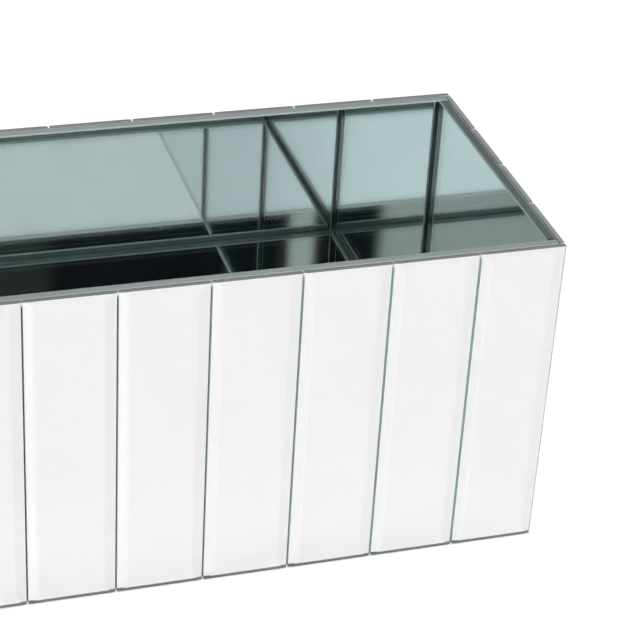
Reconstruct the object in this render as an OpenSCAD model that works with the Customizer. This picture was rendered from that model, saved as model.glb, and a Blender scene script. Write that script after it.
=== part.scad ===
// Open-topped mirrored box for a dressing table.
// Upright bevelled mirror strips are glued side by side over four mirror panels that line the inside,
// and a mirror floor lies between them, with a felt pad under it all.
// Millimetres, +Z up. The origin is at the middle of the underside and X runs along the length.

/* [Overall size] */
// Number of strips on each long side
long_strips = 12; // [6:1:14]
// Number of strips on each short side
short_strips = 4; // [2:1:6]
// Spacing of the strips on the long sides, centre to centre
strip_pitch = 25.4; // [20:0.1:32]
// Depth over the faces of the front and back strips
box_depth = 99.8; // [70:0.2:150]
// Height of the strips
strip_h = 99.4; // [60:0.2:150]

/* [Mirror strips] */
// Thickness of a strip at its flat face
strip_t = 1.8; // [1.5:0.1:4]
// Width of the bevel along the upright edges
side_bevel_w = 3; // [1:0.1:6]
// Thickness left at the upright edges
side_edge_t = 1.2; // [0.5:0.1:1.4]
// Width of the bevel along the top and bottom edges
end_bevel_w = 2.8; // [1:0.1:6]
// Thickness left at the top and bottom edges
end_edge_t = 1.4; // [0.6:0.1:1.4]
// Joint between one strip and the next
joint_gap = 0.5; // [0.2:0.1:1]

/* [Lining panels] */
// Thickness of the mirror panels that line the four sides
panel_t = 3; // [2:0.1:6]
// Width of the polished arris along the edges of the glass
arris = 0.4; // [0.1:0.1:0.8]
// Clearance where an end panel meets the front and back panels
corner_gap = 0.2; // [0.1:0.1:0.6]

/* [Floor and felt] */
// Thickness of the mirror floor
floor_t = 2; // [1.5:0.1:6]
// Clearance between the mirror floor and the panels round it
floor_gap = 0.8; // [0.1:0.1:1.5]
// Thickness of the felt pad, which lifts the glass off the table
felt_t = 0.5; // [0.3:0.1:3]
// Distance that the felt pad is set in from the backs of the lining panels
felt_inset = 1.5; // [0.5:0.5:2]

/* [Adhesive] */
// Thickness of the adhesive sheet behind the strips
glue_t = 0.2; // [0.1:0.1:1]
// Distance that the adhesive stops short of the rim
glue_drop = 1.5; // [0.5:0.1:5]
// Hairline left between faces that are stuck together
hairline = 0.02; // [0.01:0.01:0.1]

/* [Hidden] */
// Strips
long_strip_w = strip_pitch - joint_gap;
row_len = long_strips * strip_pitch - joint_gap;
strip_back_x = row_len / 2 - side_edge_t;
strip_back_y = box_depth / 2 - strip_t;
short_pitch = (2 * strip_back_y - joint_gap) / short_strips;
short_strip_w = short_pitch - joint_gap;

// Walls, from the strips inwards
panel_back_x = strip_back_x - glue_t - 2 * hairline;
panel_back_y = strip_back_y - glue_t - 2 * hairline;
cavity_x = panel_back_x - panel_t;
cavity_y = panel_back_y - panel_t;

// Levels, from the table upwards
glass_z = felt_t + hairline;
glue_h = strip_h - glue_drop;

GLASS_FACE = [0.9, 0.93, 0.94];
GLASS_LINING = [0.6, 0.68, 0.69];
GLUE_GREY = [0.45, 0.48, 0.47];
FELT_BLACK = [0.09, 0.09, 0.1];

// Where strip i of a row of n stands along its side
function along(i, n, pitch) = (i - (n + 1) / 2) * pitch;

// Outline of a strip cut across: its back on y = 0, its face at -strip_t, with both edges bevelled
function bevelled(from, to, bevel_w, edge_t) = [
    [from, 0],
    [to, 0],
    [to, -edge_t],
    [to - bevel_w, -strip_t],
    [from + bevel_w, -strip_t],
    [from, -edge_t]
];

// A rectangle on y = 0 to t, with an arris on each corner of its t side
function eased(from, to, t) = [
    [from, 0],
    [to, 0],
    [to, t - arris],
    [to - arris, t],
    [from + arris, t],
    [from, t - arris]
];

// Turns an outline so that its first number runs up and its second along Y, drawn along X
module upright(len) {
    rotate([0, -90, 0])
        linear_extrude(len, center = true)
            children();
}

// One strip with mitred bevels, standing on z = 0 with its face towards -Y
module strip(w) {
    intersection() {
        linear_extrude(strip_h)
            polygon(bevelled(-w / 2, w / 2, side_bevel_w, side_edge_t));
        upright(w)
            polygon(bevelled(0, strip_h, end_bevel_w, end_edge_t));
    }
}

module front_strip(i) {
    color(GLASS_FACE)
        translate([along(i, long_strips, strip_pitch), -strip_back_y, glass_z])
            strip(long_strip_w);
}

module back_strip(i) {
    color(GLASS_FACE)
        translate([along(i, long_strips, strip_pitch), strip_back_y, glass_z])
            rotate([0, 0, 180])
                strip(long_strip_w);
}

module left_strip(i) {
    color(GLASS_FACE)
        translate([-strip_back_x, along(i, short_strips, short_pitch), glass_z])
            rotate([0, 0, -90])
                strip(short_strip_w);
}

module right_strip(i) {
    color(GLASS_FACE)
        translate([strip_back_x, along(i, short_strips, short_pitch), glass_z])
            rotate([0, 0, 90])
                strip(short_strip_w);
}

// Outline of a lining panel cut across: its back on y = 0, with an arris on both corners of its rim
RIM_SECTION = [
    [0, 0],
    [strip_h - arris, 0],
    [strip_h, arris],
    [strip_h, panel_t - arris],
    [strip_h - arris, panel_t],
    [0, panel_t]
];

// A front or back panel, with its mirror side towards +Y
module long_panel() {
    upright(2 * panel_back_x)
        polygon(RIM_SECTION);
}

// An end panel also has an arris down each upright edge, where it meets the front and back panels
module short_panel() {
    half_w = cavity_y - corner_gap;
    intersection() {
        linear_extrude(strip_h)
            polygon(eased(-half_w, half_w, panel_t));
        upright(2 * half_w)
            polygon(RIM_SECTION);
    }
}

module front_panel() {
    color(GLASS_LINING)
        translate([0, -panel_back_y, glass_z])
            long_panel();
}

module back_panel() {
    color(GLASS_LINING)
        translate([0, panel_back_y, glass_z])
            rotate([0, 0, 180])
                long_panel();
}

module left_panel() {
    color(GLASS_LINING)
        translate([-panel_back_x, 0, glass_z])
            rotate([0, 0, -90])
                short_panel();
}

module right_panel() {
    color(GLASS_LINING)
        translate([panel_back_x, 0, glass_z])
            rotate([0, 0, 90])
                short_panel();
}

// A sheet of adhesive w wide, its middle on y = 0, from the foot of the strips to just under the rim
module adhesive(w) {
    color(GLUE_GREY)
        translate([-w / 2, -glue_t / 2, 0])
            cube([w, glue_t, glue_h]);
}

module front_adhesive() {
    translate([0, -(strip_back_y - hairline - glue_t / 2), glass_z])
        adhesive(2 * panel_back_x);
}

module back_adhesive() {
    translate([0, strip_back_y - hairline - glue_t / 2, glass_z])
        adhesive(2 * panel_back_x);
}

module left_adhesive() {
    translate([-(strip_back_x - hairline - glue_t / 2), 0, glass_z])
        rotate([0, 0, 90])
            adhesive(2 * panel_back_y);
}

module right_adhesive() {
    translate([strip_back_x - hairline - glue_t / 2, 0, glass_z])
        rotate([0, 0, 90])
            adhesive(2 * panel_back_y);
}

// The floor lies between the panels, with an arris round its upper edge
module floor_mirror() {
    half_x = cavity_x - floor_gap;
    half_y = cavity_y - floor_gap;
    color(GLASS_LINING)
        translate([0, 0, glass_z])
            intersection() {
                rotate([90, 0, 0])
                    linear_extrude(2 * half_y, center = true)
                        polygon(eased(-half_x, half_x, floor_t));
                rotate([90, 0, 90])
                    linear_extrude(2 * half_x, center = true)
                        polygon(eased(-half_y, half_y, floor_t));
            }
}

module felt_pad() {
    half_x = panel_back_x - felt_inset;
    half_y = panel_back_y - felt_inset;
    color(FELT_BLACK)
        translate([-half_x, -half_y, 0])
            cube([2 * half_x, 2 * half_y, felt_t]);
}

for (i = [1 : long_strips]) front_strip(i);
for (i = [1 : long_strips]) back_strip(i);
for (i = [1 : short_strips]) left_strip(i);
for (i = [1 : short_strips]) right_strip(i);
front_panel();
back_panel();
left_panel();
right_panel();
front_adhesive();
back_adhesive();
left_adhesive();
right_adhesive();
floor_mirror();
felt_pad();
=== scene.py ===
# %% [markdown]
# # A mirrored box for a dressing table
# The real box is glass almost all over. Bevelled mirror strips stand side by side on the outside, mirror
# panels line the inside, and a mirror floor lies between them on a felt pad. Each mirror is clear glass
# with silver on its back. The CAD model already has every glass piece in its place. Blender adds what CAD
# leaves out: the silver behind the glass, the finish of every surface, the felt, and the light. Blender
# works in metres, so MM turns a millimetre into Blender's unit.

import math

import bmesh
import bpy
from mathutils import Matrix, Vector, noise


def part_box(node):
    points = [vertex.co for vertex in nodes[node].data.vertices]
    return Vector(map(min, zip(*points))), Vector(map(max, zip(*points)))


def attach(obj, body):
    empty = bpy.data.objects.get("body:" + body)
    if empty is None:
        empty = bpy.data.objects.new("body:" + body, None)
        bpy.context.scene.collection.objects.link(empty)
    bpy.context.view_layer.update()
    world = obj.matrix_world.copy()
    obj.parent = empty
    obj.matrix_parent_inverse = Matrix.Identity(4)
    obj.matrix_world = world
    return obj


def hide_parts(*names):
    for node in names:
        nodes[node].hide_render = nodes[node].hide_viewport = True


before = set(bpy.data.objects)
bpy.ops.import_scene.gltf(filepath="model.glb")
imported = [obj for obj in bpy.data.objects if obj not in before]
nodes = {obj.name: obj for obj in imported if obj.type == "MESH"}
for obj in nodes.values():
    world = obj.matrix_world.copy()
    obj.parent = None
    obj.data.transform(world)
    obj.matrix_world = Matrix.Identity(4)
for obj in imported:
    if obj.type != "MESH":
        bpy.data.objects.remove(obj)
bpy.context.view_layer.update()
MM = 0.001
BODY = "root"

# %% [markdown]
# ## Enough bounces for mirrors in mirrors
# A ray that looks into the box goes through glass, off silver and out again at every wall, often ten
# times over. Cycles gives up after a few bounces unless it is told otherwise, and whatever is deeper goes
# black. A person would see black patches between the reflections, so the limits are raised before
# anything else. Reflected light is also what lights the table beside the box, so caustics stay on. The
# Standard view keeps white white.

# %% Light paths and view
cycles = bpy.context.scene.cycles
cycles.max_bounces = 64
cycles.glossy_bounces = 64
cycles.transmission_bounces = 64
cycles.diffuse_bounces = 3
cycles.caustics_reflective = True
cycles.caustics_refractive = True
cycles.sample_clamp_indirect = 4.0
view = bpy.context.scene.view_settings
view.view_transform = "Standard"
view.look = "None"
print("bounces", cycles.max_bounces)

# %% [markdown]
# ## Shader sums in plain Python
# Materials here are made of nodes. Writing each node and link by hand is long and hard to read, so a
# small class wraps one output of a node, and Python's own signs (+, -, *, <, >) add the Math or Vector
# Math node that does the sum. Recipe is the tree that the nodes go into, and its one method, node, adds
# any other kind: first the settings, then the value or the link of each socket.


# %% Values that can be added and multiplied
class Value:
    """One output of a node. Python's operators on it add the nodes that do the sum."""

    def __init__(self, recipe, output):
        self.recipe = recipe
        self.output = output

    def is_vector(self):
        return self.output.type in ("VECTOR", "RGBA")

    def sum_with(self, other, operation, swap=False):
        pair = [other, self] if swap else [self, other]
        vector = self.is_vector() or (isinstance(other, Value) and other.is_vector())
        kind = "ShaderNodeVectorMath" if vector else "ShaderNodeMath"
        return self.recipe.node(kind, {"operation": operation}, dict(enumerate(pair)))

    def __add__(self, other):
        return self.sum_with(other, "ADD")

    def __radd__(self, other):
        return self.sum_with(other, "ADD", swap=True)

    def __sub__(self, other):
        return self.sum_with(other, "SUBTRACT")

    def __rsub__(self, other):
        return self.sum_with(other, "SUBTRACT", swap=True)

    def __mul__(self, other):
        return self.sum_with(other, "MULTIPLY")

    def __rmul__(self, other):
        return self.sum_with(other, "MULTIPLY", swap=True)

    def __lt__(self, other):
        return self.sum_with(other, "LESS_THAN")

    def __gt__(self, other):
        return self.sum_with(other, "GREATER_THAN")

    def __abs__(self):
        return self.recipe.node("ShaderNodeMath", {"operation": "ABSOLUTE"}, {0: self})


# %% The tree that the nodes go into
class Recipe:
    """The node tree of a material or of the world."""

    def __init__(self, tree):
        self.tree = tree

    def put(self, socket, value):
        """Links a Value to the socket, or sets the socket to a number or a colour."""
        if isinstance(value, Value):
            self.tree.links.new(value.output, socket)
        elif hasattr(socket.default_value, "__len__") and not hasattr(value, "__len__"):
            socket.default_value = [value] * len(socket.default_value)
        elif hasattr(value, "__len__") and len(socket.default_value) == len(value) + 1:
            socket.default_value = (*value, 1.0)
        else:
            socket.default_value = value

    def node(self, kind, settings=None, sockets=None, out=0):
        """Adds a node with its settings, then its sockets. Gives the output that out names."""
        made = self.tree.nodes.new(kind)
        for name, value in (settings or {}).items():
            setattr(made, name, value)
        for name, value in (sockets or {}).items():
            self.put(made.inputs[name], value)
        return Value(self, made.outputs[out])

    def split(self, vector):
        """The three parts of a vector."""
        parts = self.node("ShaderNodeSeparateXYZ", {}, {0: vector})
        return [Value(self, output) for output in parts.output.node.outputs]

    def mix(self, factor, first, second):
        """The first colour where factor is 0 and the second where it is 1."""
        sockets = {0: factor, 6: first, 7: second}
        return self.node("ShaderNodeMix", {"data_type": "RGBA"}, sockets, out=2)

    def blend(self, factor, first, second):
        """The first shader where factor is 0 and the second where it is 1."""
        return self.node("ShaderNodeMixShader", {}, {0: factor, 1: first, 2: second})

    def smooth(self, value, low, high):
        """A smooth step from 0 where value is low to 1 where it is high."""
        settings = {"interpolation_type": "SMOOTHSTEP"}
        return self.node("ShaderNodeMapRange", settings, {0: value, 1: low, 2: high, 3: 0.0, 4: 1.0})

    def place(self, scale=(1.0, 1.0, 1.0)):
        """Where a point is on the object, in metres, stretched by scale."""
        point = self.node("ShaderNodeTexCoord", out="Object")
        return self.node("ShaderNodeMapping", {"vector_type": "POINT"}, {"Vector": point, "Scale": scale})

    def cloud(self, place, scale, detail=2.0, roughness=0.5):
        """Noise from 0 to 1. A scale of 100 has features about 10 mm wide."""
        sockets = {"Vector": place, "Scale": scale, "Detail": detail, "Roughness": roughness}
        return self.node("ShaderNodeTexNoise", {}, sockets, out="Fac")

    def dents(self, height, distance):
        """A bumped normal. distance is how high a height of 1 stands, in metres."""
        return self.node("ShaderNodeBump", {}, {"Height": height, "Distance": distance, "Strength": 1.0})


# %% A material from a dictionary
def principled(recipe, sockets):
    """A Principled shader with these sockets."""
    return recipe.node("ShaderNodeBsdfPrincipled", {}, sockets)


def material(name, build):
    """A new material. build(recipe) returns the shader of its surface."""
    made = bpy.data.materials.new(name)
    made.use_nodes = True
    tree = made.node_tree
    tree.nodes.clear()
    output = tree.nodes.new("ShaderNodeOutputMaterial")
    tree.links.new(build(Recipe(tree)).output, output.inputs["Surface"])
    print("material", name, "has", len(tree.nodes), "nodes")
    return made


# %% [markdown]
# ## Mirror glass
# A mirror is not a shiny metal sheet. It is clear glass that is silvered behind, so its face gives a weak
# image, the silver gives a strong one a little deeper, and a bevel works as a thin prism that shifts the
# image. A metal material would miss all of that, so the glass is real glass here, with the index of
# refraction of window glass. The faces are clear and only a few thousandths of a millimetre out of flat,
# as drawn glass is.

# %% The clear face
GLASS_INDEX = 1.52
WAVE_SCALE = 28.0
WAVE_HEIGHT = 0.004 * MM


def clear_face(recipe):
    """Clear glass with the faint waves of drawn glass."""
    wave = recipe.cloud(recipe.place(), WAVE_SCALE, detail=1.0)
    normal = recipe.dents(wave, WAVE_HEIGHT)
    sockets = {"Base Color": (1, 1, 1), "Transmission Weight": 1.0, "IOR": GLASS_INDEX, "Roughness": 0.0}
    return principled(recipe, {**sockets, "Normal": normal})


# %% [markdown]
# ## Ground edges
# Every edge of the glass is ground, which scatters light and looks grey. A second material on the edge
# faces would mean cutting the mesh up, so the same material looks at the direction in which a surface
# faces instead, and takes the ground finish wherever that isn't through the thickness of the sheet. Some
# light also comes through a ground edge from inside the glass, which is what the Translucent shader adds.

# %% The ground edge
X, Y, Z = 0, 1, 2
FACE_LIMIT = 0.85
ARRIS_LIMIT = 0.5
LIGHT_THROUGH = 0.4
ACROSS_SCRATCHES = 900.0
ALONG_SCRATCHES = 25.0
SCRATCH_DEPTH = 0.004 * MM
NICK_SCALE = 700.0


def by_face(recipe, across, along, choose, choices):
    """Chooses for the rim, the foot, the sides and the arrises, by the direction in which a surface faces."""
    facing = recipe.split(recipe.node("ShaderNodeNewGeometry", out="Normal"))
    chosen = choose(facing[Z] < -FACE_LIMIT, choices["rim"], choices["foot"])
    chosen = choose(abs(facing[along]) > FACE_LIMIT, chosen, choices["side"])
    arris = choose(abs(facing[Z]) < ARRIS_LIMIT, choices["arris"], choices["upright_arris"])
    return choose(abs(facing[across]) > ARRIS_LIMIT, chosen, arris)


def ground_edge(recipe, colours, across, along):
    """A ground edge, with a few light nicks and fine scratches from the wheel, which run along axis along."""
    stretch = [ACROSS_SCRATCHES] * 3
    stretch[along] = ALONG_SCRATCHES
    scratches = recipe.cloud(recipe.place(stretch), 3.0, detail=3.0)
    nicks = recipe.smooth(recipe.cloud(recipe.place(), NICK_SCALE), 0.66, 0.72)
    colour = by_face(recipe, across, along, recipe.mix, colours)
    shade = colour * (0.75 + 0.5 * scratches) * (1 + 0.5 * nicks)
    normal = recipe.dents(scratches, SCRATCH_DEPTH)
    roughness = 0.5 + 0.3 * scratches
    outside = principled(recipe, {"Base Color": shade, "Roughness": roughness, "Normal": normal, "IOR": 1.3})
    lets_through = {
        face: recipe.node("ShaderNodeBsdfTranslucent", {}, {"Color": plain, "Normal": normal})
        for face, plain in colours.items()
    }
    through = by_face(recipe, across, along, recipe.blend, lets_through)
    return recipe.blend(LIGHT_THROUGH, outside, through)


# %% [markdown]
# ## Dust, and painted shade on the strips
# No mirror is perfectly clean. A film of dust covers a few thousandths of a face. On the bevelled strips a
# matt film is also painted shade: a little on the flat face, more on one side bevel and none on the other,
# so that the bevels come out lighter and darker than the face, as light falls on them. A blurred reflection
# would look like satin glass, so a matt film is mixed in instead: its share is the share of the face that it
# covers.

# %% Dust, and painted shade on the strips
# The grey of the matt film: real dust, and on the bevelled strips painted shade.
DUST_AND_PAINTED_SHADE = (0.5, 0.49, 0.46)
BEVEL_LIMIT = 0.05
# Shares of painted shade: on the flat face, and extra on one side bevel.
FLAT_FACE_PAINTED_SHADE = 0.065
EXTRA_BEVEL_PAINTED_SHADE = 0.035


def dust_film(recipe, amount):
    """How much of a face is covered by dust and the odd wiped smear."""
    wiped = recipe.cloud(recipe.place((1.0, 1.0, 2.5)), 22.0, detail=3.0, roughness=0.6)
    smears = recipe.smooth(wiped, 0.5, 0.75)
    specks = recipe.smooth(recipe.cloud(recipe.place(), 1100.0, detail=1.0), 0.74, 0.8)
    return amount * (0.25 + 0.75 * smears) + 0.25 * amount * specks


def painted_bevel_shade(recipe, normal, across, along):
    """Painted shade on a bevelled strip: a matt film on the flat face, more on one side bevel, none on the
    other.
    """
    turn = -1.0 if across == Y else 1.0
    side = normal[across] * normal[along] * turn
    return FLAT_FACE_PAINTED_SHADE * (1 - (side < -BEVEL_LIMIT)) + EXTRA_BEVEL_PAINTED_SHADE * (side > BEVEL_LIMIT)


# %% [markdown]
# ## Putting the glass together
# Glass takes a little red out of the light on its way, which is why mirrors in mirrors turn green with
# depth. A green base colour would tint every mirror alike, however thick, so the tint is a volume shader,
# Absorption, which grows with the length of the way. Edges that face up, down and sideways get their own
# grey, and so do the edges of each wall, set lighter or darker for how light falls: painted light and shade.

# %% Glass from its parts
TINT = (0.108, 0.56, 0.64)
TINT_DENSITY = 12.0


def glass(name, across, along, edge_colours_with_painted_light, dust, bevelled=False):
    """Glass whose thickness runs along the axis across, and whose long edges run along the axis along."""

    def build(recipe):
        normal = recipe.split(recipe.node("ShaderNodeNewGeometry", out="Normal"))
        film = principled(recipe, {"Base Color": DUST_AND_PAINTED_SHADE, "Roughness": 0.8})
        cover = dust_film(recipe, dust)
        if bevelled:
            # Bevelled strips add painted shade on the flat face and one side bevel.
            cover = cover + painted_bevel_shade(recipe, normal, across, along)
        face = recipe.blend(cover, clear_face(recipe), film)
        edge = abs(normal[across]) < FACE_LIMIT
        return recipe.blend(edge, face, ground_edge(recipe, edge_colours_with_painted_light, across, along))

    made = material(name, build)
    tint = made.node_tree.nodes.new("ShaderNodeVolumeAbsorption")
    tint.inputs["Color"].default_value = (*TINT, 1.0)
    tint.inputs["Density"].default_value = TINT_DENSITY
    made.node_tree.links.new(tint.outputs[0], made.node_tree.nodes["Material Output"].inputs["Volume"])
    return made


# %% The glass of each side
# The sides of the strips lie in shade in the narrow joints, and their pale teal is painted light, a glow.
JOINT_SIDE_PAINTED_GLOW = (0.75, 0.93, 0.89)
# The foot faces the table in shadow, and its near-white colour is painted light.
FOOT_PAINTED_LIGHT = (0.86, 0.92, 0.9)
# The upright edges of the lining meet in the corners, and their near-black is painted shade.
CORNER_SIDE_PAINTED_SHADE = (0.03, 0.09, 0.08)
# The arrises are lighter than the rims they run along, which is painted highlight.
STRIP_ARRIS_PAINTED_HIGHLIGHT = (0.36, 0.42, 0.4)
ARRIS_PAINTED_HIGHLIGHT = (0.8, 0.9, 0.88)
# The floor's cut edge, seen at the foot of the walls, is set light, which is painted light.
FLOOR_EDGE_PAINTED_LIGHT = (0.3, 0.42, 0.4)
FACE_DUST = 0.002
FLOOR_DUST = 0.004


def edge_colours_with_painted_light(rim, side, arris):
    """The colours of a ground edge, each a painted light or shade: rim, foot, upright side, arris of the rim
    and upright arris.
    """
    return {"rim": rim, "foot": FOOT_PAINTED_LIGHT, "side": side, "arris": arris, "upright_arris": ARRIS_PAINTED_HIGHLIGHT}


# The rim and arris greys differ from wall to wall only for how light falls on each: painted light and shade.
LONG_STRIP_EDGES = edge_colours_with_painted_light((0.19, 0.21, 0.205), JOINT_SIDE_PAINTED_GLOW, STRIP_ARRIS_PAINTED_HIGHLIGHT)
SHORT_STRIP_EDGES = edge_colours_with_painted_light((0.26, 0.28, 0.275), JOINT_SIDE_PAINTED_GLOW, STRIP_ARRIS_PAINTED_HIGHLIGHT)
LONG_PANEL_EDGES = edge_colours_with_painted_light((0.29, 0.325, 0.315), CORNER_SIDE_PAINTED_SHADE, (0.44, 0.52, 0.5))
SHORT_PANEL_EDGES = edge_colours_with_painted_light((0.095, 0.12, 0.115), CORNER_SIDE_PAINTED_SHADE, (0.34, 0.4, 0.39))
FLOOR_EDGES = edge_colours_with_painted_light(FLOOR_EDGE_PAINTED_LIGHT, FLOOR_EDGE_PAINTED_LIGHT, ARRIS_PAINTED_HIGHLIGHT)

strip_glass_long = glass("strip_glass_long", Y, X, LONG_STRIP_EDGES, FACE_DUST, bevelled=True)
strip_glass_short = glass("strip_glass_short", X, Y, SHORT_STRIP_EDGES, FACE_DUST, bevelled=True)
panel_glass_long = glass("panel_glass_long", Y, X, LONG_PANEL_EDGES, FACE_DUST)
panel_glass_short = glass("panel_glass_short", X, Y, SHORT_PANEL_EDGES, FACE_DUST)
floor_glass = glass("floor_glass", Z, X, FLOOR_EDGES, FLOOR_DUST)

# %% [markdown]
# ## Silver and adhesive
# Behind the glass is a film of silver far thinner than a hair. It is a bright, faintly warm metal. The
# strips' silver is set darker than the lining's, a painted shade that keeps the outer faces below the white
# of the table they reflect. Both are a little uneven, so noise moves the colour and the roughness by a
# hair. Grey adhesive holds the strips, and shows only as a thin dark line at the rim.


# %% Silver and adhesive
# Darker than the lining's silver, which is painted shade.
STRIP_SILVER_WITH_PAINTED_SHADE = (0.828, 0.815, 0.807)
PANEL_SILVER = (0.918, 0.922, 0.914)


def silver_coat(best):
    """A builder for silver whose colour is best where it is freshest."""

    def build(recipe):
        bloom = recipe.cloud(recipe.place(), 35.0, detail=3.0)
        tired = tuple(0.985 * part for part in best)
        colour = recipe.mix(recipe.smooth(bloom, 0.45, 0.7), best, tired)
        roughness = 0.006 + 0.01 * bloom
        return principled(recipe, {"Base Color": colour, "Metallic": 1.0, "Roughness": roughness})

    return build


def trowelled_adhesive(recipe):
    """Mirror adhesive, spread in ridges."""
    ridges = recipe.cloud(recipe.place((120.0, 120.0, 700.0)), 2.0, detail=2.0)
    patches = recipe.cloud(recipe.place(), 90.0, detail=3.0)
    colour = recipe.mix(patches, (0.05, 0.058, 0.056), (0.12, 0.135, 0.13))
    normal = recipe.dents(ridges, 0.06 * MM)
    return principled(recipe, {"Base Color": colour, "Roughness": 0.45 + 0.35 * patches, "Normal": normal})


strip_silver = material("strip_silver", silver_coat(STRIP_SILVER_WITH_PAINTED_SHADE))
panel_silver = material("panel_silver", silver_coat(PANEL_SILVER))
adhesive = material("mirror_adhesive", trowelled_adhesive)


# %% Dress the CAD pieces
def dress(name, made):
    """Gives every material slot of a CAD piece this material, and leaves its mesh alone."""
    for slot in nodes[name].material_slots:
        slot.link = "OBJECT"
        slot.material = made


LONG_SIDES = ("front", "back")
for name in nodes:
    long_side = name.split("_")[0] in LONG_SIDES
    if "_strip_" in name:
        dress(name, strip_glass_long if long_side else strip_glass_short)
    elif name.endswith("_panel"):
        dress(name, panel_glass_long if long_side else panel_glass_short)
    elif name.endswith("_adhesive"):
        dress(name, adhesive)
dress("floor_mirror", floor_glass)
print("dressed", len(nodes), "CAD pieces")

# %% [markdown]
# ## Geometry Nodes for what repeats
# Thirty-two strips need thirty-two coats of silver at an even spacing. One coat could be copied in a
# loop, but a row is exactly what Geometry Nodes are good at: a line of points, and the same piece set on
# every point. The tree is built once, and its named inputs (how many, where the first is, the step, the
# size) fit it to each side. The helper below adds the nodes of such a tree, and as_mesh turns the result
# into a plain mesh with no modifier left.


# %% A helper for node trees
class Builder:
    """A Geometry Nodes tree with named inputs."""

    def __init__(self, name, inputs):
        self.tree = bpy.data.node_groups.new(name, "GeometryNodeTree")
        self.tree.interface.new_socket("Geometry", in_out="OUTPUT", socket_type="NodeSocketGeometry")
        self.tree.interface.new_socket("Geometry", in_out="INPUT", socket_type="NodeSocketGeometry")
        for label, kind in inputs.items():
            self.tree.interface.new_socket(label, in_out="INPUT", socket_type="NodeSocket" + kind)
        self.start = self.tree.nodes.new("NodeGroupInput")
        self.end = self.tree.nodes.new("NodeGroupOutput")

    def input(self, label):
        return self.start.outputs[label]

    def add(self, kind, settings=None, sockets=None):
        """Adds a node, sets it up, and links or sets its sockets."""
        made = self.tree.nodes.new(kind)
        for key, value in (settings or {}).items():
            setattr(made, key, value)
        for key, value in (sockets or {}).items():
            if isinstance(value, bpy.types.NodeSocket):
                self.tree.links.new(value, made.inputs[key])
            else:
                made.inputs[key].default_value = value
        return made

    def finish(self, geometry, finish):
        """Ends the tree in Realize Instances and Set Material."""
        real = self.add("GeometryNodeRealizeInstances", {}, {"Geometry": geometry})
        dressed = self.add("GeometryNodeSetMaterial", {}, {"Geometry": real.outputs[0], "Material": finish})
        self.tree.links.new(dressed.outputs[0], self.end.inputs[0])
        return self.tree


def plain_piece(name, mesh):
    """An object at the origin that shows this mesh."""
    piece = bpy.data.objects.new(name, mesh)
    bpy.context.scene.collection.objects.link(piece)
    return piece


def as_mesh(name, tree, inputs, start_mesh=None):
    """Runs a tree with these inputs, and gives its result as a piece with a plain mesh."""
    source = plain_piece(name + "_source", start_mesh or bpy.data.meshes.new(name + "_source"))
    modifier = source.modifiers.new("tree", "NODES")
    modifier.node_group = tree
    for item in tree.interface.items_tree:
        if item.in_out == "INPUT" and item.name in inputs:
            modifier[item.identifier] = inputs[item.name]
    evaluated = source.evaluated_get(bpy.context.evaluated_depsgraph_get())
    mesh = bpy.data.meshes.new_from_object(evaluated)
    mesh.name = name
    bpy.data.objects.remove(source)
    return plain_piece(name, mesh)


# %% The tree for a row of silver coats
ROW_INPUTS = {"Count": "Int", "First": "Vector", "Step": "Vector", "Size": "Vector", "Finish": "Material"}
row = Builder("silver_row", ROW_INPUTS)
places = row.add(
    "GeometryNodeMeshLine",
    {"mode": "OFFSET"},
    {"Count": row.input("Count"), "Start Location": row.input("First"), "Offset": row.input("Step")},
)
film = row.add("GeometryNodeMeshCube", {}, {"Size": row.input("Size")})
films = row.add(
    "GeometryNodeInstanceOnPoints",
    {},
    {"Points": places.outputs[0], "Instance": film.outputs[0]},
)
silver_row = row.finish(films.outputs[0], row.input("Finish"))
print("silver_row has", len(silver_row.nodes), "nodes")

# %% [markdown]
# ## The silver coats
# Each coat lies a fiftieth of a millimetre inside the back face of its glass. If it lay exactly on that
# face, the two surfaces would flicker, and if it lay behind, a hairline of air would give a second, wrong
# reflection. It also stops just short of the edges, as a sprayed coat does.

# %% Lay the silver
COAT_DEPTH = 0.02 * MM
COAT_T = 0.01 * MM
COAT_MARGIN = 0.05 * MM


def middle_of_coat(name, axis, back_is_high):
    """The middle and the size of the coat of one piece of glass."""
    low, high = (Vector(corner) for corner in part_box(name))
    middle = (low + high) / 2
    size = high - low - 2 * COAT_MARGIN * Vector((1, 1, 1))
    size[axis] = COAT_T
    inset = COAT_DEPTH + COAT_T / 2
    middle[axis] = high[axis] - inset if back_is_high else low[axis] + inset
    return middle, size


def lay_silver(piece_name, glass_names, axis, back_is_high, finish):
    """One piece with the coats of a whole row of glass."""
    first, size = middle_of_coat(glass_names[0], axis, back_is_high)
    last, _ = middle_of_coat(glass_names[-1], axis, back_is_high)
    step = (last - first) / max(len(glass_names) - 1, 1)
    inputs = {"Count": len(glass_names), "First": first, "Step": step, "Size": size, "Finish": finish}
    piece = as_mesh(piece_name, silver_row, inputs)
    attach(piece, BODY)
    print(piece_name, "covers", len(glass_names), "pieces of", [round(part / MM, 2) for part in size], "mm")


def strips_of(side):
    """The strips of one side, in order."""
    return sorted((n for n in nodes if n.startswith(side + "_strip_")), key=lambda n: int(n.split("_")[-1]))


BACK_OF_STRIP = {"front": (Y, True), "back": (Y, False), "left": (X, True), "right": (X, False)}
for side, (axis, back_is_high) in BACK_OF_STRIP.items():
    lay_silver(side + "_strip_silver", strips_of(side), axis, back_is_high, strip_silver)
    panel = side + "_panel"
    lay_silver(side + "_panel_silver", [panel], axis, not back_is_high, panel_silver)
lay_silver("floor_silver", ["floor_mirror"], Z, False, panel_silver)

# %% [markdown]
# ## Dabs of clear resin in the joints
# A small dab of clear resin closes the top of each joint between two strips. From above they are the
# bright specks along the rim. They could be left out, but they are what shows that the joints are filled
# and not open slots. Each is a small flattened ball, and a seed gives every one its own size.


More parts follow.
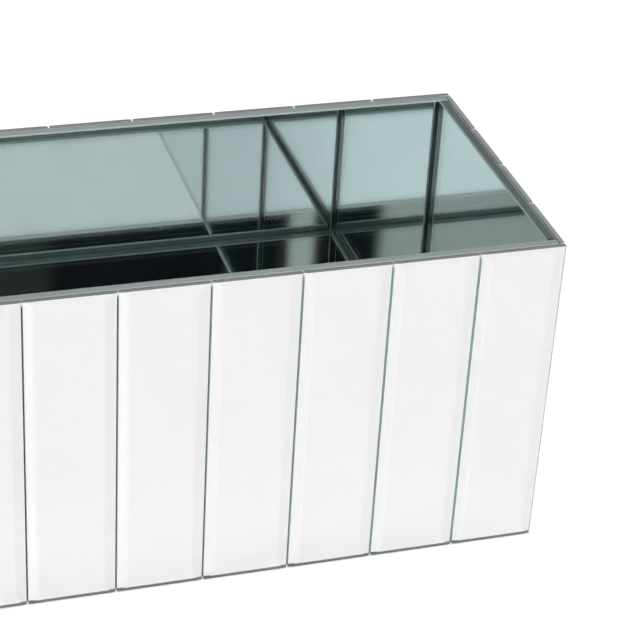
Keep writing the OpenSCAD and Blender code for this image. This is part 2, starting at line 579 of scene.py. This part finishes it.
# %% Clear resin
def clear_resin(recipe):
    """Cured resin: pale, hard and a little cloudy."""
    haze = recipe.cloud(recipe.place(), 1500.0, detail=2.0)
    colour = recipe.mix(haze, (0.62, 0.68, 0.67), (0.86, 0.9, 0.89))
    return principled(recipe, {"Base Color": colour, "Roughness": 0.12 + 0.2 * haze, "Coat Weight": 0.5})


resin = material("joint_resin", clear_resin)

# %% The tree for a row of dabs
DAB_INPUTS = {
    "Count": "Int",
    "First": "Vector",
    "Step": "Vector",
    "Smallest": "Vector",
    "Largest": "Vector",
    "Seed": "Int",
    "Finish": "Material",
}
dab = Builder("resin_dabs", DAB_INPUTS)
joints = dab.add(
    "GeometryNodeMeshLine",
    {"mode": "OFFSET"},
    {"Count": dab.input("Count"), "Start Location": dab.input("First"), "Offset": dab.input("Step")},
)
ball = dab.add("GeometryNodeMeshIcoSphere", {}, {"Radius": 1.0, "Subdivisions": 2})
sizes = dab.add(
    "FunctionNodeRandomValue",
    {"data_type": "FLOAT_VECTOR"},
    {0: dab.input("Smallest"), 1: dab.input("Largest"), "Seed": dab.input("Seed")},
)
dabs = dab.add(
    "GeometryNodeInstanceOnPoints",
    {},
    {"Points": joints.outputs[0], "Instance": ball.outputs[0], "Scale": sizes.outputs[0]},
)
rounded = dab.add("GeometryNodeSetShadeSmooth", {}, {"Geometry": dabs.outputs[0]})
resin_dabs = dab.finish(rounded.outputs[0], dab.input("Finish"))
print("resin_dabs has", len(resin_dabs.nodes), "nodes")


# %% Fill the joints
DAB_SINK = 0.9 * MM
DAB_SHARES_OF_THICKNESS = (0.28, 0.42)
DAB_SHARES_OF_SINK = (0.5, 0.95)
DAB_SHARE_OF_GAP = 0.49
FIRST_SEED = 11


def fill_joints(side, axis, seed):
    """A dab at the top of every joint of one side."""
    strips = strips_of(side)
    boxes = [[Vector(corner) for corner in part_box(name)] for name in strips]
    middles = []
    for (low_a, high_a), (low_b, high_b) in zip(boxes, boxes[1:]):
        middle = (low_a + high_a + low_b + high_b) / 4
        middle.z = high_a.z - DAB_SINK
        middles.append(middle)
    gap = boxes[1][0][axis] - boxes[0][1][axis]
    thick = boxes[0][1][1 - axis] - boxes[0][0][1 - axis]
    shares = zip(DAB_SHARES_OF_THICKNESS, DAB_SHARES_OF_SINK)
    smallest, largest = (Vector((wide * thick, wide * thick, tall * DAB_SINK)) for wide, tall in shares)
    smallest[axis] = DAB_SHARE_OF_GAP * gap
    largest[axis] = DAB_SHARE_OF_GAP * gap
    step = (middles[-1] - middles[0]) / max(len(middles) - 1, 1)
    inputs = {"Count": len(middles), "First": middles[0], "Step": step, "Finish": resin}
    inputs = {**inputs, "Smallest": smallest, "Largest": largest, "Seed": seed}
    piece = as_mesh(side + "_joint_resin", resin_dabs, inputs)
    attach(piece, BODY)
    print(piece.name, len(middles), "joints,", round(gap / MM, 2), "mm wide")


ROW_AXES = {"front": X, "back": X, "left": Y, "right": Y}
for seed, (side, axis) in enumerate(ROW_AXES.items(), start=FIRST_SEED):
    fill_joints(side, axis, seed)

# %% [markdown]
# ## The felt pad
# The box stands on a pad of black felt, so that glass never touches the table. Only its cut edge can be
# seen, as a dark line in the shadow under the strips. A plain slab would look like rubber there. Real
# felt is soft: its edge is cut by hand, a little uneven, and fibres stand out of it. So the pad starts as
# a grid whose outline wanders by a tenth of a millimetre, and gets its thickness and a rounded edge from
# modifiers.


# %% Black felt
def wool(recipe):
    """Black felt: matted fibres, a little lint, and the soft sheen of wool."""
    mat = recipe.cloud(recipe.place(), 1800.0, detail=4.0, roughness=0.7)
    patches = recipe.cloud(recipe.place(), 120.0, detail=2.0)
    lint = recipe.smooth(recipe.cloud(recipe.place((1.0, 3.0, 1.0)), 900.0), 0.7, 0.76)
    colour = recipe.mix(mat, (0.006, 0.006, 0.007), (0.03, 0.03, 0.033))
    colour = recipe.mix(0.5 * patches, colour, (0.014, 0.014, 0.017))
    colour = recipe.mix(0.5 * lint, colour, (0.12, 0.12, 0.12))
    normal = recipe.dents(mat, 0.25 * MM)
    sockets = {"Base Color": colour, "Roughness": 0.85 + 0.15 * mat, "Normal": normal}
    return principled(recipe, {**sockets, "Sheen Weight": 0.35, "Sheen Roughness": 0.5})


felt = material("black_felt", wool)

# %% The felt's body
PAD_CELLS = (130, 42)
PAD_WANDER = 0.12 * MM
WANDER_SCALE = 90.0
OTHER_PATCH = Vector((31.0, 7.0, 0.0))
PAD_ROUND = 0.22 * MM
pad_low, pad_high = (Vector(corner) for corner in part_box("felt_pad"))
pad_size = pad_high - pad_low


def pad_mesh():
    """The pad as a grid with a hand-cut outline, thickened and rounded by modifiers."""
    width, depth = (side - 2 * PAD_WANDER for side in pad_size.xy)
    made = bmesh.new()
    bmesh.ops.create_grid(made, x_segments=PAD_CELLS[0], y_segments=PAD_CELLS[1], size=0.5)
    for vertex in made.verts:
        wander = PAD_WANDER if vertex.is_boundary else 0.0
        place = Vector((vertex.co.x * width, vertex.co.y * depth, 0))
        spot = place * WANDER_SCALE
        place.x += wander * noise.noise(spot)
        place.y += wander * noise.noise(spot + OTHER_PATCH)
        place.z = pad_low.z
        vertex.co = place
    mesh = bpy.data.meshes.new("felt_grid")
    made.to_mesh(mesh)
    made.free()
    grid = plain_piece("felt_grid", mesh)
    solid = grid.modifiers.new("thickness", "SOLIDIFY")
    solid.thickness = pad_size.z
    solid.offset = 1.0
    rounded_edge = grid.modifiers.new("round", "BEVEL")
    rounded_edge.width = PAD_ROUND
    rounded_edge.segments = 3
    rounded_edge.limit_method = "ANGLE"
    result = bpy.data.meshes.new_from_object(grid.evaluated_get(bpy.context.evaluated_depsgraph_get()))
    bpy.data.objects.remove(grid)
    return result


pad = pad_mesh()
print("felt body", len(pad.polygons), "faces")

# %% [markdown]
# ## Fibres along the cut edge
# The cut edge of felt is fuzzy: short fibres stick out where the scissors went. Particle hair could make
# them, but it isn't a mesh, so it is lost when the model is saved for other programs. A tree scatters
# points on the sides of the pad, sets one bent fibre on each, turns it at random, and squeezes what would
# poke out of the pad's height. The result replaces the CAD slab.

# %% Where the fibres grow
FIBRE_INPUTS = {
    "Density": "Float",
    "Length": "Float",
    "Thickness": "Float",
    "Lowest": "Float",
    "Highest": "Float",
    "Seed": "Int",
    "Finish": "Material",
}
SIDE_LIMIT = 0.6
nap = Builder("felt_nap", FIBRE_INPUTS)
facing = nap.add("GeometryNodeInputNormal")
parts = nap.add("ShaderNodeSeparateXYZ", {}, {0: facing.outputs[0]})
steep = nap.add("ShaderNodeMath", {"operation": "ABSOLUTE"}, {0: parts.outputs[2]})
side_on = nap.add("ShaderNodeMath", {"operation": "LESS_THAN"}, {0: steep.outputs[0], 1: SIDE_LIMIT})
roots = nap.add(
    "GeometryNodeDistributePointsOnFaces",
    {"distribute_method": "RANDOM"},
    {
        "Mesh": nap.input("Geometry"),
        "Selection": side_on.outputs[0],
        "Density": nap.input("Density"),
        "Seed": nap.input("Seed"),
    },
)
print("felt_nap finds its roots with", len(nap.tree.nodes), "nodes")

# %% One bent fibre, about one unit long
FIBRE_MIDDLE = (0.0, 0.15, 0.55)
FIBRE_TIP = (0.25, 0.35, 0.85)
bend = nap.add(
    "GeometryNodeCurveQuadraticBezier",
    {},
    {"Resolution": 3, "Start": (0, 0, 0), "Middle": FIBRE_MIDDLE, "End": FIBRE_TIP},
)
profile = nap.add("GeometryNodeCurvePrimitiveCircle", {}, {"Resolution": 3, "Radius": nap.input("Thickness")})
hair = nap.add(
    "GeometryNodeCurveToMesh",
    {},
    {"Curve": bend.outputs[0], "Profile Curve": profile.outputs[0], "Fill Caps": True},
)
print("one fibre has", profile.inputs["Resolution"].default_value, "sides")

# %% Turn each fibre its own way
LEAN = 0.3
SPIN = 3.1
turn = nap.add(
    "FunctionNodeRandomValue",
    {"data_type": "FLOAT_VECTOR"},
    {0: (-LEAN, -LEAN, -SPIN), 1: (LEAN, LEAN, SPIN), "Seed": nap.input("Seed")},
)
reach = nap.add(
    "FunctionNodeRandomValue",
    {"data_type": "FLOAT"},
    {2: 0.4, 3: 1.0, "Seed": nap.input("Seed")},
)
long = nap.add("ShaderNodeMath", {"operation": "MULTIPLY"}, {0: reach.outputs[1], 1: nap.input("Length")})
outward = nap.add("FunctionNodeAlignEulerToVector", {"axis": "Z"}, {"Vector": roots.outputs["Normal"]})
leaning = nap.add(
    "FunctionNodeRotateEuler",
    {"rotation_type": "EULER", "space": "LOCAL"},
    {"Rotation": outward.outputs[0], "Rotate By": turn.outputs[0]},
)
hairs = nap.add(
    "GeometryNodeInstanceOnPoints",
    {},
    {
        "Points": roots.outputs["Points"],
        "Instance": hair.outputs[0],
        "Rotation": leaning.outputs[0],
        "Scale": long.outputs[0],
    },
)
print("felt_nap has", len(nap.tree.nodes), "nodes so far")

# %% Keep every fibre between the table and the top of the pad
loose = nap.add("GeometryNodeRealizeInstances", {}, {"Geometry": hairs.outputs[0]})
spot = nap.add("GeometryNodeInputPosition")
where = nap.add("ShaderNodeSeparateXYZ", {}, {0: spot.outputs[0]})
held = nap.add(
    "ShaderNodeClamp",
    {},
    {"Value": where.outputs[2], "Min": nap.input("Lowest"), "Max": nap.input("Highest")},
)
back = nap.add("ShaderNodeCombineXYZ", {}, {0: where.outputs[0], 1: where.outputs[1], 2: held.outputs[0]})
kept = nap.add("GeometryNodeSetPosition", {}, {"Geometry": loose.outputs[0], "Position": back.outputs[0]})
both = nap.add("GeometryNodeJoinGeometry")
nap.tree.links.new(nap.input("Geometry"), both.inputs[0])
nap.tree.links.new(kept.outputs[0], both.inputs[0])
felt_nap = nap.finish(both.outputs[0], nap.input("Finish"))
print("felt_nap has", len(felt_nap.nodes), "nodes")

# %% Grow the felt
FIBRES_PER_M2 = 2.4e6
FIBRE_LENGTH = 0.9 * MM
FIBRE_SHARE = 0.02
FIBRE_MARGIN = 0.02 * MM
FIBRE_SEED = 5
fibre_inputs = {
    "Density": FIBRES_PER_M2,
    "Length": FIBRE_LENGTH,
    "Thickness": FIBRE_SHARE,
    "Lowest": pad_low.z + FIBRE_MARGIN,
    "Highest": pad_high.z - FIBRE_MARGIN,
    "Seed": FIBRE_SEED,
    "Finish": felt,
}
felt_base = as_mesh("felt_base", felt_nap, fibre_inputs, pad)
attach(felt_base, BODY)
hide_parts("felt_pad")
print("felt with its fibres", len(felt_base.data.polygons), "faces")

# %% [markdown]
# ## The table and the studio
# The box stands on a table of plain white acrylic. It glows, which is painted light: a little near the box,
# so that a shadow never goes black, and more with distance, where the lamp is weak. A mirror shows the
# room as much as itself, so the room matters: a pale studio all round, a little duller straight behind the
# box, and in front a broad dark shape with a slit of light, which stands for the person and the camera. It
# is painted on the sky by direction, which costs nothing, where real panels would have to be placed and
# would throw shadows. The sky is seen in mirrors, but doesn't light matt surfaces, so the lamp and the
# table decide how bright the edges are.

# %% The table
TABLE_RADIUS = 8.0
TABLE_WHITE = 0.57
CAST_UNEVENNESS = 0.006
# How much the table glows near the box, and over what distance the glow rises to full: painted light.
NEAR_PAINTED_GLOW = 0.4
PAINTED_GLOW_FROM_TO = (0.9, 3.2)
bpy.ops.mesh.primitive_circle_add(vertices=64, radius=TABLE_RADIUS, fill_type="NGON", location=(0, 0, 0))
table = bpy.context.object
table.name = "table"


def table_with_painted_glow(recipe):
    """White acrylic with a painted glow: a little near the box and more with distance, where the lamp is
    weak.
    """
    cast = recipe.cloud(recipe.place(), 60.0, detail=3.0)
    colour = recipe.mix(cast, (TABLE_WHITE,) * 3, (TABLE_WHITE + CAST_UNEVENNESS,) * 3)
    distance = recipe.node("ShaderNodeVectorMath", {"operation": "LENGTH"}, {0: recipe.place()}, out="Value")
    glow = NEAR_PAINTED_GLOW + (1 - NEAR_PAINTED_GLOW) * recipe.smooth(distance, *PAINTED_GLOW_FROM_TO)
    sockets = {"Base Color": colour, "Roughness": 0.9, "Emission Color": glow, "Emission Strength": 1.0}
    return principled(recipe, sockets)


table.data.materials.append(material("white_table", table_with_painted_glow))

# %% The studio, painted on the sky
REAR_WALL = (0.85, 0.87, 0.89)
SIDE_WALLS = (1.1, 1.14, 1.17)
FRONT_WALL = (0.44, 0.46, 0.44)
SLIT_LIGHT = (0.5, 0.52, 0.49)
DARK_FIGURE = (0.006, 0.0075, 0.009)
DARK_COAT = (0.03, 0.033, 0.031)
CEILING = (1.0, 1.0, 1.0)

# Edges in degrees, each as a pair: where it starts to fade in and where it is full
REAR_EDGE = (15.0, 21.0)
FIGURE_EDGES = ((-20.65, -20.1), (17.0, 15.5))
SLIT_EDGES = ((-18.5, -18.2), (-17.45, -17.75))
COAT_EDGES = ((0.0, 5.0), (10.7, 9.9))
# Edges in the parts of a direction of length 1
AHEAD_EDGE = (0.15, -0.3)
FIGURE_HEIGHTS = ((0.2, 0.3), (0.9, 0.75))
CEILING_EDGE = (0.7, 0.9)

world = bpy.data.worlds.new("studio")
bpy.context.scene.world = world
world.use_nodes = True
sky = Recipe(world.node_tree)
background = world.node_tree.nodes["Background"]
direction = sky.node("ShaderNodeTexCoord", out="Generated")
dx, dy, dz = sky.split(direction)
degree = 180 / math.pi
azimuth = sky.node("ShaderNodeMath", {"operation": "ARCTAN2"}, {0: dx, 1: 0.0 - dy}) * degree
turned = abs(sky.node("ShaderNodeMath", {"operation": "ARCTAN2"}, {0: dx, 1: dy}) * degree)


def band(value, edges):
    """1 between two soft edges and 0 outside them."""
    return sky.smooth(value, *edges[0]) * sky.smooth(value, *edges[1])


ahead = sky.smooth(dy, *AHEAD_EDGE) * band(dz, FIGURE_HEIGHTS)
walls = sky.mix(sky.smooth(turned, *REAR_EDGE), REAR_WALL, SIDE_WALLS)
walls = sky.mix(ahead, walls, FRONT_WALL)
figure = sky.mix(band(azimuth, COAT_EDGES), DARK_FIGURE, DARK_COAT)
room = sky.mix(band(azimuth, FIGURE_EDGES) * ahead, walls, figure)
room = sky.mix(band(azimuth, SLIT_EDGES) * ahead, room, SLIT_LIGHT)
room = sky.mix(sky.smooth(dz, *CEILING_EDGE), room, CEILING)
sky.put(background.inputs["Color"], room)
background.inputs["Strength"].default_value = 1.0
world.cycles_visibility.diffuse = False
print("studio has", len(world.node_tree.nodes), "nodes")

# %% [markdown]
# ## One soft light
# A large square lamp overhead, a little in front, lights the table and the rims. It is nearly as wide as
# it hangs high, which is what makes its shadows too soft to see.

# %% Softbox
LAMP_PLACE = Vector((0.4, -0.75, 3.0))
LAMP_AIM = Vector((0.0, 0.0, 0.0))
LAMP_SIDE = 2.6
LAMP_POWER = 154.0
lamp = bpy.data.lights.new("overhead_softbox", "AREA")
lamp.shape = "RECTANGLE"
lamp.size = LAMP_SIDE
lamp.size_y = LAMP_SIDE
lamp.energy = LAMP_POWER
softbox = bpy.data.objects.new("overhead_softbox", lamp)
softbox.location = LAMP_PLACE
softbox.rotation_mode = "QUATERNION"
softbox.rotation_quaternion = (LAMP_AIM - LAMP_PLACE).to_track_quat("-Z", "Y")
bpy.context.scene.collection.objects.link(softbox)
print("softbox", round(LAMP_PLACE.length, 2), "m from the box")

# %% [markdown]
# ## The camera
# The camera looks down into the box from the front left through a long lens, with a slight tilt. It is
# given by where the eye is and by three angles, and its axes are worked out from them.

# %% Camera
LENS = 121.25
SENSOR = 36.0
YAW, PITCH, ROLL = (math.radians(angle) for angle in (18.69, 31.48, 3.70))
EYE = Vector((-78.9, -523.2, 390.9)) * MM
ahead_of_eye = Vector((math.sin(YAW) * math.cos(PITCH), math.cos(YAW) * math.cos(PITCH), -math.sin(PITCH)))
level = ahead_of_eye.cross(Vector((0, 0, 1))).normalized()
upward = level.cross(ahead_of_eye)
right = math.cos(ROLL) * level + math.sin(ROLL) * upward
top = right.cross(ahead_of_eye)
lens = bpy.data.cameras.new("camera")
lens.lens = LENS
lens.sensor_width = SENSOR
lens.clip_start = 0.01
camera = bpy.data.objects.new("camera", lens)
camera.matrix_world = Matrix.Translation(EYE) @ Matrix((right, top, -ahead_of_eye)).transposed().to_4x4()
bpy.context.scene.collection.objects.link(camera)
bpy.context.scene.camera = camera
print("camera at", [round(part, 3) for part in camera.location], "m")
